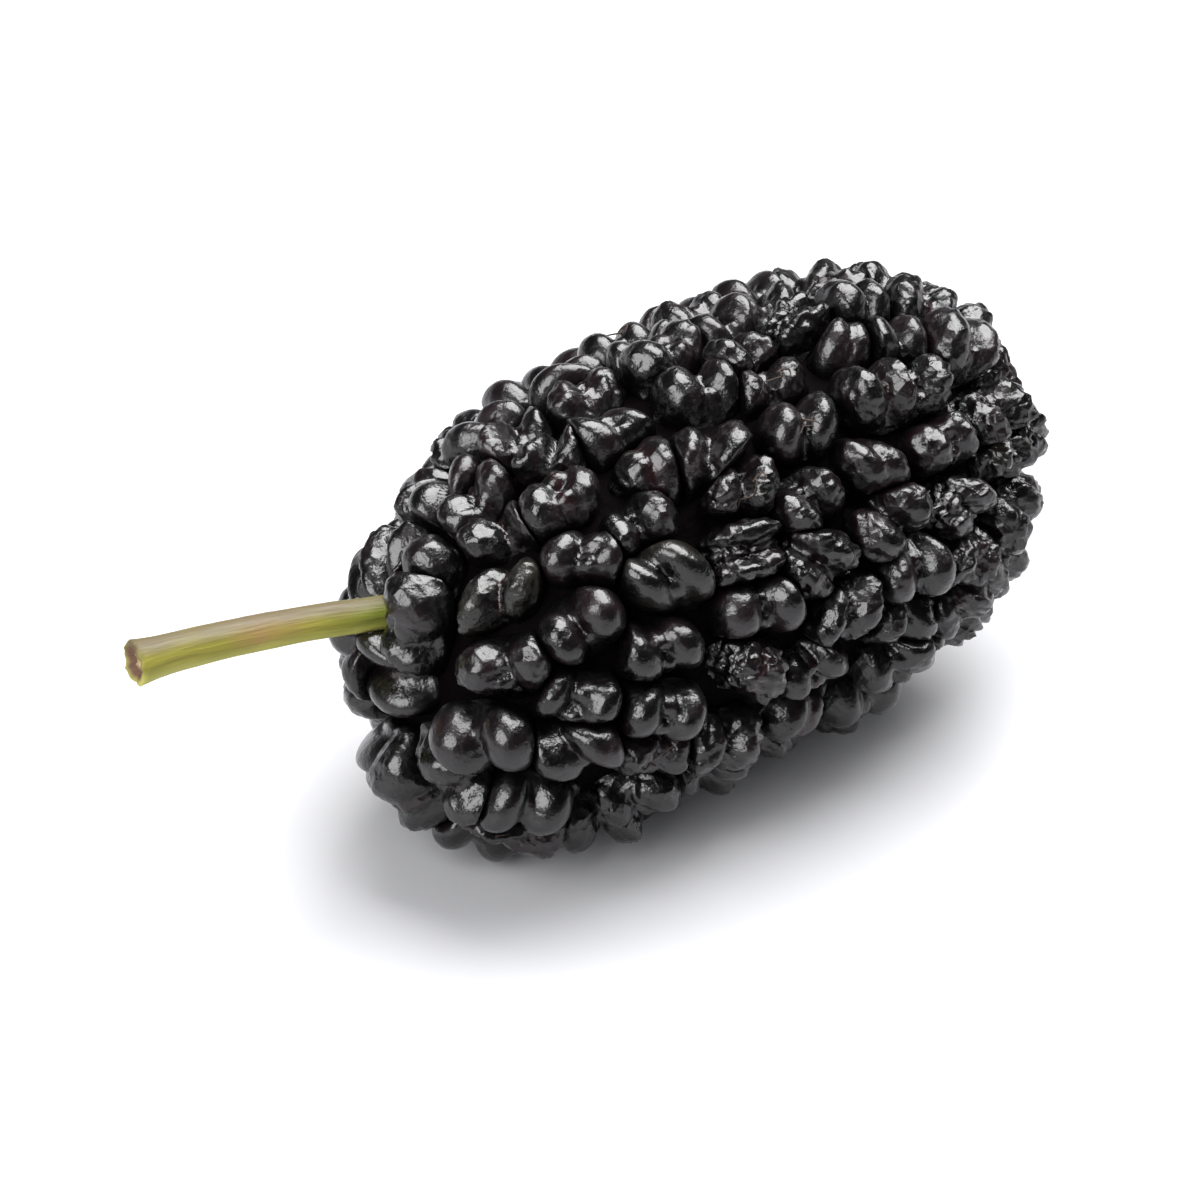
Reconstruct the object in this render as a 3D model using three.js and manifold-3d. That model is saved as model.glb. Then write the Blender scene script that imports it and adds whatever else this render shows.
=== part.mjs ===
// A ripe mulberry lying on its side, on the green stalk that it was picked by.
//
// Millimetres, +Z up. The fruit's axis runs along X, with its stalk towards -X and its tip
// towards +X. The origin is under the middle of fruit and stalk together, on the surface
// that the fruit lies on.

import * as THREE from 'three';
import { mergeVertices } from 'three/addons/utils/BufferGeometryUtils.js';
import Module from 'manifold-3d';

// Fruit: the barrel that the tops of the drupelets touch.
const FRUIT_LENGTH = 25.4;
const FRUIT_GIRTH = 15.8; // diameter at the middle
const BLUNTNESS = 2.65; // 2 is an ellipse, and a higher power has blunter ends
const TIP_TAPER = 0.02; // how much slimmer the tip half is than the stalk half
const TIP_LIFT = 0.85; // the axis ends this much higher at the tip, and lower at the stalk
const TIP_SIDE = 0.85; // and this much further to +Y at the tip
const SIDE_BOW = 0.4; // both ends bow this far to -Y
const SLANT_UP = 0.28; // the stalk end is drawn in this much for each mm above the axis
const SLANT_ASIDE = 0.1; // and this much for each mm to +Y of it
const FRUIT_X = 3.9; // middle of the fruit, along X
const FRUIT_Y = 0.1;
const FRUIT_Z = 7.5;

// Drupelets, the small fleshy fruits that make the whole, in rings round the fruit.
const RING_COUNT = 11;
const FIRST_RING = 2.1; // walk over the barrel from the stalk to the first ring
const LAST_RING = 1.2; // walk from the last ring to the tip
const RING_EASE = 0.14; // how much wider than the mean the first gap between rings is
const RING_PITCH = 2.3; // from one drupelet of a ring to the next
const DRUPELET_ACROSS = 2.8; // round the girth
const DRUPELET_ALONG = 4.0; // along the fruit, where its two lobes lie side by side
const DRUPELET_DEEP = 3.4; // outwards
const PLACE_JITTER = 0.18; // part of a pitch, round the ring
const RING_JITTER = 0.03; // radians, along the fruit
const SIZE_JITTER = 0.1; // part of the size
const PROUD_JITTER = 0.22; // how far a top stands above or below the barrel
const COLLAR_PROUD = 0.6; // and how much further out those of the ring round the stalk stand
const ROLL_JITTER = 0.4; // radians, about the drupelet's own outward axis
const CROWN_SIDES = 6;
const CROWN_STEPS = [0, 36, 72]; // degrees from the top to where the root starts
const ROOT_WIDTH = 0.8; // of the sunk root's foot, beside the drupelet's own
const SEED = 40;
const WALK_STEPS = 2000; // short straight steps that the walk over the barrel is added up from

// Core, the fleshy axis that every drupelet's root is sunk in.
const CORE_DEPTH = 1.4; // below the tops of the drupelets
const CORE_SIDES = 20;
const CORE_STEPS = 12;

// Stalk.
const STALK_LENGTH = 7.8; // from the fruit's end to the cut
const STALK_SUNK = 3.6; // in the fruit
const STALK_ROOT_RADIUS = 0.57;
const STALK_CUT_RADIUS = 0.66;
const STALK_FLARE = 0.13; // how much wider it swells right at the cut
const FLARE_POWER = 12; // a high power keeps the swelling close to the cut
const STALK_TILT = 0.23; // radians that the rings round it are turned up
const STALK_ASIDE = 0.17; // and to +Y
const STALK_UP = 2.45; // where it leaves, above the fruit's own end
const STALK_OVER = 1.85; // and this far to +Y of it
const STALK_CLIMB = 0.16; // rise for each mm, at the fruit
const STALK_TURN = 0.1; // drift to +Y for each mm
const STALK_DROOP = 0.65; // how far the cut end sinks below a straight line
const STALK_SIDES = 14;
const STALK_STEPS = 16;
const SOCKET_GAP = 0.3; // of clearance round the root and past its end
const SOCKET_STEPS = 6;

const GROUND = { width: 80, depth: 10 }; // the block cut away below the fruit
const NUDGE = 0.01; // how far apart two points are that give a curve's direction
const WELD = 1e-4; // corners closer than this are one

const FRUIT_COLOUR = 0x17090f;
const STALK_COLOUR = 0xa9b455;

const wasm = await Module();
wasm.setup();

// A repeatable stream of numbers from 0 to 1.
function seededRandom(seed) {
  let state = seed;
  return () => {
    state = (state + 0x6d2b79f5) | 0;
    let mixed = Math.imul(state ^ (state >>> 15), 1 | state);
    mixed = (mixed + Math.imul(mixed ^ (mixed >>> 7), 61 | mixed)) ^ mixed;
    return ((mixed ^ (mixed >>> 14)) >>> 0) / 4294967296;
  };
}

// The fruit's axis, bent and leaning, where along runs from -1 at the stalk to 1 at the tip.
function axisPoint(along) {
  return new THREE.Vector3(
    FRUIT_X + (along * FRUIT_LENGTH) / 2,
    FRUIT_Y + TIP_SIDE * along - SIDE_BOW * along * along,
    FRUIT_Z + TIP_LIFT * along,
  );
}

// How far the slant of the stalk end moves a place along X, from where it is beside the axis.
function slantAt(along, aside, above) {
  return (SLANT_ASIDE * aside + SLANT_UP * above) * Math.max(0, -along) ** 2;
}

// Half of the barrel's outline: distance along the axis and from it, at an angle of 0 for the
// stalk end to PI for the tip.
function barrelOutline(angle, depth = 0) {
  const power = 2 / BLUNTNESS;
  const along = -Math.sign(Math.cos(angle)) * Math.abs(Math.cos(angle)) ** power;
  const radius = Math.abs(Math.sin(angle)) ** power * (1 - TIP_TAPER * along);
  return new THREE.Vector2(
    along * (FRUIT_LENGTH / 2 - depth),
    radius * (FRUIT_GIRTH / 2 - depth),
  );
}

// The rings, closer together towards the tip, each with its angle and how long its drupelets
// are beside the mean.
function ringStations() {
  const walked = [0];
  for (let i = 1; i <= WALK_STEPS; i++) {
    const last = barrelOutline((Math.PI * (i - 1)) / WALK_STEPS);
    const next = barrelOutline((Math.PI * i) / WALK_STEPS);
    walked.push(walked[i - 1] + next.distanceTo(last));
  }
  const span = walked[WALK_STEPS] - FIRST_RING - LAST_RING;
  return Array.from({ length: RING_COUNT }, (_, ring) => {
    const part = ring / (RING_COUNT - 1);
    const goal = FIRST_RING + span * (part * (1 + RING_EASE) - RING_EASE * part * part);
    const step = walked.findIndex((distance) => distance >= goal);
    const stretch = 1 + RING_EASE - 2 * RING_EASE * part;
    return { angle: (Math.PI * step) / WALK_STEPS, stretch };
  });
}

// The barrel as a closed lathe form, depth below the tops, then bent to the fruit's axis.
function coreGeometry(depth) {
  const outline = [];
  for (let i = 0; i <= CORE_STEPS; i++) {
    const { x, y } = barrelOutline((Math.PI * i) / CORE_STEPS, depth);
    outline.push(new THREE.Vector2(i === 0 || i === CORE_STEPS ? 0 : y, x));
  }
  const geometry = new THREE.LatheGeometry(outline, CORE_SIDES);
  geometry.rotateZ(-Math.PI / 2);
  const place = geometry.attributes.position;
  for (let i = 0; i < place.count; i++) {
    const along = place.getX(i) / (FRUIT_LENGTH / 2);
    const middle = axisPoint(along);
    const [y, z] = [place.getY(i), place.getZ(i)];
    place.setXYZ(i, middle.x + slantAt(along, y, z), middle.y + y, middle.z + z);
  }
  return geometry;
}

// Where the barrel's surface is in a direction, and which way it faces there. The rings are
// turned round the stalk, which leaves above the middle of the fruit's end and to +Y of it.
function barrelSurface(angle, turn) {
  const hinge = new THREE.Vector3(0, STALK_TILT, -STALK_ASIDE);
  const tilt = hinge.length() * ((1 + Math.cos(angle)) / 2) ** 2;
  const ray = new THREE.Vector3(
    -Math.cos(angle),
    Math.sin(angle) * Math.cos(turn),
    Math.sin(angle) * Math.sin(turn),
  ).applyAxisAngle(hinge.normalize(), tilt);
  const tilted = Math.acos(-ray.x);
  const spoke = new THREE.Vector3(0, ray.y, ray.z).normalize();
  const { x, y } = barrelOutline(tilted);
  const walk = barrelOutline(tilted + NUDGE).sub(barrelOutline(tilted - NUDGE)).normalize();
  const along = spoke.clone().multiplyScalar(walk.y).setX(walk.x);
  const outward = spoke.clone().multiplyScalar(walk.x).setX(-walk.y);
  const part = x / (FRUIT_LENGTH / 2);
  const place = axisPoint(part).addScaledVector(spoke, y);
  place.x += slantAt(part, spoke.y * y, spoke.z * y);
  return { place, along, outward };
}

// The matrix that sets a drupelet, modelled as a unit ball with its top to +Z.
function drupeletMatrix({ place, along, outward }, size, proud, roll) {
  const across = new THREE.Vector3().crossVectors(along, outward);
  const rolled = new THREE.Matrix4().makeRotationZ(roll);
  return new THREE.Matrix4()
    .makeBasis(across, along, outward)
    .multiply(rolled)
    .scale(size)
    .setPosition(place.clone().addScaledVector(outward, proud - size.z));
}

// Every drupelet, ring by ring, each ring half a pitch on from the last.
function drupeletMatrices() {
  const random = seededRandom(SEED);
  const spread = () => 2 * random() - 1;
  const half = new THREE.Vector3(DRUPELET_ACROSS, DRUPELET_ALONG, DRUPELET_DEEP);
  half.multiplyScalar(0.5);
  const matrices = [];
  ringStations().forEach(({ angle, stretch }, ring) => {
    const girth = 2 * Math.PI * barrelOutline(angle).y;
    const count = Math.max(3, Math.round(girth / RING_PITCH));
    for (let i = 0; i < count; i++) {
      const turn = (2 * Math.PI * (i + ring / 2 + PLACE_JITTER * spread())) / count;
      const surface = barrelSurface(angle + RING_JITTER * spread(), turn);
      const size = half.clone().multiplyScalar(1 + SIZE_JITTER * spread());
      size.y *= stretch;
      const collar = ring === 0 ? COLLAR_PROUD : 0;
      const proud = collar + PROUD_JITTER * spread();
      matrices.push(drupeletMatrix(surface, size, proud, ROLL_JITTER * spread()));
    }
  });
  return matrices;
}

// A drupelet's form: a round crown over a plain root that is sunk in the core.
function crownGeometry() {
  const outline = CROWN_STEPS.map((step) => {
    const angle = THREE.MathUtils.degToRad(step);
    return new THREE.Vector2(Math.sin(angle), Math.cos(angle));
  });
  outline.push(new THREE.Vector2(ROOT_WIDTH, -1), new THREE.Vector2(0, -1));
  return new THREE.LatheGeometry(outline.reverse(), CROWN_SIDES).rotateX(Math.PI / 2);
}

function toSolid(geometry) {
  const bare = geometry.clone();
  bare.deleteAttribute('normal');
  bare.deleteAttribute('uv');
  const merged = mergeVertices(bare, WELD);
  return new wasm.Manifold(new wasm.Mesh({
    numProp: 3,
    vertProperties: new Float32Array(merged.attributes.position.array),
    triVerts: new Uint32Array(merged.index.array),
  }));
}

function toGeometry(solid) {
  const mesh = solid.getMesh();
  const geometry = new THREE.BufferGeometry();
  geometry.setAttribute('position', new THREE.BufferAttribute(mesh.vertProperties, 3));
  geometry.setIndex(new THREE.BufferAttribute(mesh.triVerts, 1));
  geometry.computeVertexNormals();
  return geometry;
}

// The outer skin alone, so that a pocket sealed among the drupelets is filled.
function withoutPockets(solid) {
  const skins = solid.decompose();
  return skins.reduce((largest, skin) => (skin.volume() > largest.volume() ? skin : largest));
}

// Everything below the surface that the fruit lies on.
function groundSolid() {
  const block = new THREE.BoxGeometry(GROUND.width, GROUND.width, GROUND.depth);
  block.translate(0, 0, -GROUND.depth / 2);
  return toSolid(block);
}

// The stalk's middle line: a slight climb out of the fruit that bends over and sinks.
function stalkPoint(distance) {
  const end = axisPoint(-1);
  const run = Math.max(0, distance) / STALK_LENGTH;
  return new THREE.Vector3(
    end.x - distance,
    end.y + STALK_OVER + STALK_TURN * distance,
    end.z + STALK_UP + STALK_CLIMB * distance - STALK_DROOP * run * run,
  );
}

// A round bar along the stalk's middle line, from one distance to another.
function stalkGeometry(from, to, radiusAt, steps) {
  const outline = [new THREE.Vector2(0, from)];
  for (let i = 0; i <= steps; i++) {
    const distance = from + ((to - from) * i) / steps;
    outline.push(new THREE.Vector2(radiusAt(distance), distance));
  }
  outline.push(new THREE.Vector2(0, to));
  const geometry = new THREE.LatheGeometry(outline, STALK_SIDES);
  const corner = geometry.attributes.position;
  for (let i = 0; i < corner.count; i++) {
    const distance = corner.getY(i);
    const middle = stalkPoint(distance);
    const heading = stalkPoint(distance + NUDGE).sub(middle).normalize();
    const side = new THREE.Vector3().crossVectors(heading, new THREE.Vector3(0, 0, 1)).normalize();
    const up = new THREE.Vector3().crossVectors(side, heading);
    middle.addScaledVector(side, corner.getX(i)).addScaledVector(up, corner.getZ(i));
    corner.setXYZ(i, middle.x, middle.y, middle.z);
  }
  return geometry;
}

function stalkRadius(distance) {
  const run = THREE.MathUtils.clamp(distance / STALK_LENGTH, 0, 1);
  const flare = STALK_FLARE * run ** FLARE_POWER;
  return THREE.MathUtils.lerp(STALK_ROOT_RADIUS, STALK_CUT_RADIUS, run) + flare;
}

function makeFruit() {
  const crown = crownGeometry();
  let solid = toSolid(coreGeometry(CORE_DEPTH));
  for (const matrix of drupeletMatrices()) {
    solid = solid.add(toSolid(crown.clone().applyMatrix4(matrix)));
  }
  const socket = stalkGeometry(
    -STALK_SUNK - SOCKET_GAP, STALK_LENGTH, () => STALK_ROOT_RADIUS + SOCKET_GAP, SOCKET_STEPS);
  solid = solid.subtract(toSolid(socket)).subtract(groundSolid());
  const material = new THREE.MeshStandardMaterial({ color: FRUIT_COLOUR, roughness: 0.3 });
  const fruit = new THREE.Mesh(toGeometry(withoutPockets(solid)), material);
  fruit.name = 'fruit';
  return fruit;
}

function makeStalk() {
  const geometry = stalkGeometry(-STALK_SUNK, STALK_LENGTH, stalkRadius, STALK_STEPS);
  const material = new THREE.MeshStandardMaterial({ color: STALK_COLOUR, roughness: 0.55 });
  const stalk = new THREE.Mesh(geometry, material);
  stalk.name = 'stalk';
  return stalk;
}

const mulberry = new THREE.Group();
mulberry.add(makeFruit(), makeStalk());

export default mulberry;
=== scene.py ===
"""A ripe mulberry lying on its side, on the green stalk that it was picked by.

Metres, +Z up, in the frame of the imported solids: the fruit's axis runs along X, its stalk
towards -X and its tip towards +X, and it lies on z = 0.
"""

from __future__ import annotations

import logging
import math
from dataclasses import dataclass, field
from enum import Enum
from functools import partial
from typing import Any, Callable

import bpy
import numpy as np
from mathutils import Matrix, Vector


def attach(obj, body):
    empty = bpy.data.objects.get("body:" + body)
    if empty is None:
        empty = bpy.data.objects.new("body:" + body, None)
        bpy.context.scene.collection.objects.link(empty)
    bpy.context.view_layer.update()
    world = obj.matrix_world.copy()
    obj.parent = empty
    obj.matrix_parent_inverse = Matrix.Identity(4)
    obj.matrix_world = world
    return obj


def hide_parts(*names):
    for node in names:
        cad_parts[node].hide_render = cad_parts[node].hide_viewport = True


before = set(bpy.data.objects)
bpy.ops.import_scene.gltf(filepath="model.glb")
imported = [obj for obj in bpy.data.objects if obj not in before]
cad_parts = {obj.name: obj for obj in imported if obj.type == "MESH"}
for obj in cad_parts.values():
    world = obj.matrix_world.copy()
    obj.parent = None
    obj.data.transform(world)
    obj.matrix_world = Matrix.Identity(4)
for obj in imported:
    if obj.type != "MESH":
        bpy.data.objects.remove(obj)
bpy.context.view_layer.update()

log = logging.getLogger("mulberry")

MM = 0.001
SEED = 40  # of the drupelets' places, as in the solids
RIND_RADIUS = 0.6  # in millimetres, that the stalk's rind is unrolled at

# Blender's names of the nodes that come up most.
MATH = "ShaderNodeMath"
VECTOR = "ShaderNodeVectorMath"
COMBINE = "ShaderNodeCombineXYZ"
SEPARATE = "ShaderNodeSeparateXYZ"
MAP_RANGE = "ShaderNodeMapRange"
MIX = "ShaderNodeMix"
NOISE = "ShaderNodeTexNoise"
BUMP = "ShaderNodeBump"
ATTRIBUTE = "ShaderNodeAttribute"
NAMED = "GeometryNodeInputNamedAttribute"
STORE = "GeometryNodeStoreNamedAttribute"
POSITION = "GeometryNodeInputPosition"
SET_POSITION = "GeometryNodeSetPosition"
COMPARE = "FunctionNodeCompare"

# What each drupelet's point carries, and Blender's name of its kind.
SEAT_KINDS = {
    "is_seat": "BOOLEAN",
    "has_style": "BOOLEAN",
    "seat_turn": "QUATERNION",
    "seat_half": "FLOAT_VECTOR",
    "seat_place": "FLOAT_VECTOR",
    "seat_near": "FLOAT_VECTOR",
    "seat_far": "FLOAT_VECTOR",
    "seat_inner": "FLOAT_VECTOR",
    "seat_look": "FLOAT_VECTOR",
    "cleft_turn": "FLOAT",
}


# --------------------------------------------------------------------------- helpers


def linear(hex_colour: str) -> tuple[float, float, float, float]:
    """An sRGB colour as Blender's linear one.

    Args:
        hex_colour: Six hex digits after a '#'.

    Returns:
        Red, green, blue and an alpha of 1.
    """
    parts = [int(hex_colour[i : i + 2], 16) / 255 for i in (1, 3, 5)]
    rgb = [c / 12.92 if c <= 0.04045 else ((c + 0.055) / 1.055) ** 2.4 for c in parts]
    return (*rgb, 1.0)


def add_node(
    tree: bpy.types.NodeTree, kind: str, inputs: Any = (), **settings: Any
) -> bpy.types.Node:
    """Adds a node with its settings and what goes into it.

    Args:
        tree: The tree that it is added to.
        kind: Blender's name of the node's type.
        inputs: Values, sockets or nodes, in order or in a dict by the socket's number or
            name. A node stands for its first output in use, and None leaves a socket.
        settings: The node's own properties.

    Returns:
        The new node.
    """
    node = tree.nodes.new(kind)
    for name, value in settings.items():
        setattr(node, name, value)
    pairs = inputs.items() if isinstance(inputs, dict) else enumerate(inputs)
    for key, value in pairs:
        if isinstance(value, bpy.types.Node):
            value = next(out for out in value.outputs if out.enabled)
        if isinstance(value, bpy.types.NodeSocket):
            tree.links.new(value, node.inputs[key])
        elif value is not None:
            node.inputs[key].default_value = value
    return node


Add = Callable[..., bpy.types.Node]  # add_node with its tree already given


@dataclass
class NodeShape:
    """A mesh that a Geometry Nodes tree makes.

    Attributes:
        name: The piece's name, and its tree's.
        sizes: The tree's named inputs, whole numbers or metres.
        material: What the tree dresses it in.
        inner: What it dresses the faces in that it marks as inner, if there are any.
    """

    name: str
    sizes: dict[str, float | int]
    material: bpy.types.Material
    inner: bpy.types.Material | None = None

    def make(
        self,
        base: bpy.types.Mesh,
        weave: Callable[[bpy.types.NodeTree, bpy.types.Node], bpy.types.Node],
    ) -> bpy.types.Object:
        """Runs the tree on a base mesh and keeps the result as a plain mesh.

        Args:
            base: What the tree starts from.
            weave: Adds the shape's own nodes, from the group's inputs to its last geometry.

        Returns:
            The finished piece, with no modifier on it.
        """
        tree = bpy.data.node_groups.new(self.name, "GeometryNodeTree")
        add = partial(add_node, tree)
        inputs = {**self.sizes, "Material": self.material}
        if self.inner is not None:
            inputs["Inner material"] = self.inner
        kinds = {int: "NodeSocketInt", float: "NodeSocketFloat"}
        tree.interface.new_socket("Base", in_out="INPUT", socket_type="NodeSocketGeometry")
        sockets = {
            name: tree.interface.new_socket(
                name, in_out="INPUT", socket_type=kinds.get(type(value), "NodeSocketMaterial")
            )
            for name, value in inputs.items()
        }
        tree.interface.new_socket("Shape", in_out="OUTPUT", socket_type="NodeSocketGeometry")
        given = add("NodeGroupInput")
        size = given.outputs
        shape = add("GeometryNodeRealizeInstances", [weave(tree, given)])
        shape = add("GeometryNodeSetShadeSmooth", [shape])
        shape = add("GeometryNodeSetMaterial", {0: shape, 2: size["Material"]})
        if self.inner is not None:
            is_inner = add(NAMED, ["is_inner"], data_type="BOOLEAN")
            shape = add("GeometryNodeSetMaterial", [shape, is_inner, size["Inner material"]])
        add("NodeGroupOutput", [shape])

        grown = bpy.data.objects.new(self.name + "_base", base)
        bpy.context.scene.collection.objects.link(grown)
        modifier = grown.modifiers.new(self.name, "NODES")
        modifier.node_group = tree
        for name, value in inputs.items():
            modifier[sockets[name].identifier] = value
        evaluated = grown.evaluated_get(bpy.context.evaluated_depsgraph_get())
        mesh = bpy.data.meshes.new_from_object(evaluated)
        mesh.name = self.name
        bpy.data.objects.remove(grown)
        piece = bpy.data.objects.new(self.name, mesh)
        bpy.context.scene.collection.objects.link(piece)
        return piece


# --------------------------------------------------------------------------- finishes


@dataclass(frozen=True)
class Finish:
    """A real surface, drawn with shader nodes. Its name says what it is made of."""

    name: str

    def surface(self, add: Add, place: bpy.types.NodeSocket) -> dict[str, Any]:
        """Adds the nodes for the surface's colour, gloss and relief.

        Args:
            add: Adds a node to the material.
            place: The point in Object coordinates.

        Returns:
            What the shader is given, by the socket's name.
        """
        raise NotImplementedError

    def material(self) -> bpy.types.Material:
        """Builds the material.

        Returns:
            A node material with one Principled shader.
        """
        made = bpy.data.materials.new(self.name)
        made.use_nodes = True
        made.node_tree.nodes.clear()
        add = partial(add_node, made.node_tree)
        place = add("ShaderNodeTexCoord").outputs["Object"]
        shader = add("ShaderNodeBsdfPrincipled", self.surface(add, place))
        add("ShaderNodeOutputMaterial", [shader])
        return made


@dataclass(frozen=True)
class MulberrySkin(Finish):
    """The skin of a ripe black mulberry: thin, taut and moist over dark juice.

    It is near-black with a wine-red depth in the clefts, and its gloss is broken by fine
    puckers, so that each swelling carries one soft light and a few sparks.
    """

    name: str = "ripe black mulberry skin"
    ink: str = "#020202"
    plum: str = "#0c0305"
    wine: str = "#2a070e"
    olive: str = "#1c1d16"
    # painted shade: near-black on the flanks deep in the gaps between drupelets
    gap_painted_shade: str = "#010101"
    blotch_mm: float = 1.6  # from one riper patch to the next
    blush_span: tuple[float, float] = (0.42, 0.68)  # of the patches' noise, ink to plum
    satin_span: tuple[float, float] = (0.35, 0.7)  # of it, between the two roughnesses
    roughness: tuple[float, float] = (0.26, 0.36)
    pucker_mm: float = 0.30  # from one pucker of the skin to the next
    net_puckers: float = 1.4  # the width of a mesh of the net on drying skin, in puckers
    pore_mm: float = 0.10
    relief_mm: float = 0.12  # how deep they all go
    pucker_share: float = 0.28  # of the relief, where the net has all of it
    pore_share: float = 0.08
    ior: float = 1.42  # of moist plant skin
    bloom: float = 0.3  # how much of the thin waxy coat is left
    bloom_roughness: float = 0.18

    def surface(self, add: Add, place: bpy.types.NodeSocket) -> dict[str, Any]:
        """Adds the nodes for the surface's colour, gloss and relief.

        Args:
            add: Adds a node to the material.
            place: The point in Object coordinates.

        Returns:
            What the shader is given, by the socket's name.
        """
        look = add(ATTRIBUTE, attribute_name="seat_look").outputs["Vector"]
        red, unripe, dry = add(SEPARATE, [look]).outputs
        cleft = add(ATTRIBUTE, attribute_name="cleft_here").outputs["Fac"]
        depth = add(ATTRIBUTE, attribute_name="sunk_here").outputs["Fac"]

        # Ink to plum from place to place, wine where the lobes meet, olive on unripe tips, and
        # painted shade, near-black, deep in the gaps.
        scale = 1 / (self.blotch_mm * MM)
        blotch = add(NOISE, {"Vector": place, "Scale": scale, "Detail": 3.0, "Roughness": 0.6})
        blush = add(MAP_RANGE, [blotch, *self.blush_span, 0.0, 1.0])
        red = add(MATH, [cleft, red], operation="MULTIPLY")
        unripe = add(MATH, [unripe, blush], operation="MULTIPLY")
        skin = linear(self.ink)
        for share, tone in (
            (blush, self.plum),
            (red, self.wine),
            (unripe, self.olive),
            # painted shade, darker the deeper a corner lies in a gap
            (depth, self.gap_painted_shade),
        ):
            skin = add(MIX, {0: share, 6: skin, 7: linear(tone)}, data_type="RGBA")

        # Soft puckers everywhere, and a net of sharper ones where a drupelet is drying.
        scale = 1 / (self.pucker_mm * MM)
        pucker = add(NOISE, {"Vector": place, "Scale": scale, "Detail": 2.0})
        scale = 1 / (self.net_puckers * self.pucker_mm * MM)
        net = add("ShaderNodeTexVoronoi", {"Vector": place, "Scale": scale, "Randomness": 1.0})
        relief = add(MATH, [net, dry], operation="MULTIPLY")
        relief = add(MATH, [pucker, self.pucker_share, relief], operation="MULTIPLY_ADD")
        scale = 1 / (self.pore_mm * MM)
        pore = add(NOISE, {"Vector": place, "Scale": scale, "Detail": 1.0})
        relief = add(MATH, [pore, self.pore_share, relief], operation="MULTIPLY_ADD")
        bump = add(BUMP, {"Strength": 1.0, "Distance": self.relief_mm * MM, "Height": relief})
        return {
            "Base Color": skin,
            "Roughness": add(MAP_RANGE, [blotch, *self.satin_span, *self.roughness]),
            "IOR": self.ior,
            "Normal": bump,
            "Coat Weight": self.bloom,
            "Coat Roughness": self.bloom_roughness,
            "Coat Normal": bump,
        }


@dataclass(frozen=True)
class CoreFlesh(Finish):
    """The flesh down between the drupelets, with a trace of juice, and painted near-black as their
    shade.

    It is dull, so that the gaps stay dark and the drupelets stand out.
    """

    name: str = "shaded core flesh"
    shade: str = "#010101"
    juice: str = "#040102"
    grain_mm: float = 0.4
    relief_mm: float = 0.1

    def surface(self, add: Add, place: bpy.types.NodeSocket) -> dict[str, Any]:
        """Adds the nodes for the surface's colour, gloss and relief.

        Args:
            add: Adds a node to the material.
            place: The point in Object coordinates.

        Returns:
            What the shader is given, by the socket's name.
        """
        scale = 1 / (self.grain_mm * MM)
        grain = add(NOISE, {"Vector": place, "Scale": scale, "Detail": 2.0})
        tones = {0: grain, 6: linear(self.shade), 7: linear(self.juice)}
        relief = {"Strength": 0.8, "Distance": self.relief_mm * MM, "Height": grain}
        return {
            "Base Color": add(MIX, tones, data_type="RGBA"),
            "Roughness": 0.7,
            "Specular IOR Level": 0.02,
            "Normal": add(BUMP, relief),
        }


@dataclass(frozen=True)
class DriedStyle(Finish):
    """The dried style of each little flower: a matt thread, rust-brown against the black."""

    name: str = "dried style, rust brown"
    rust: str = "#190d08"
    straw: str = "#38241a"
    fleck_mm: float = 0.5
    relief_mm: float = 0.02

    def surface(self, add: Add, place: bpy.types.NodeSocket) -> dict[str, Any]:
        """Adds the nodes for the surface's colour, gloss and relief.

        Args:
            add: Adds a node to the material.
            place: The point in Object coordinates.

        Returns:
            What the shader is given, by the socket's name.
        """
        scale = 1 / (self.fleck_mm * MM)
        fleck = add(NOISE, {"Vector": place, "Scale": scale, "Detail": 2.0})
        share = add(MAP_RANGE, [fleck, 0.4, 0.7, 0.0, 1.0])
        tones = {0: share, 6: linear(self.rust), 7: linear(self.straw)}
        relief = {"Strength": 0.6, "Distance": self.relief_mm * MM, "Height": fleck}
        return {
            "Base Color": add(MIX, tones, data_type="RGBA"),
            "Roughness": 0.7,
            "IOR": 1.45,
            "Normal": add(BUMP, relief),
        }


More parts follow.
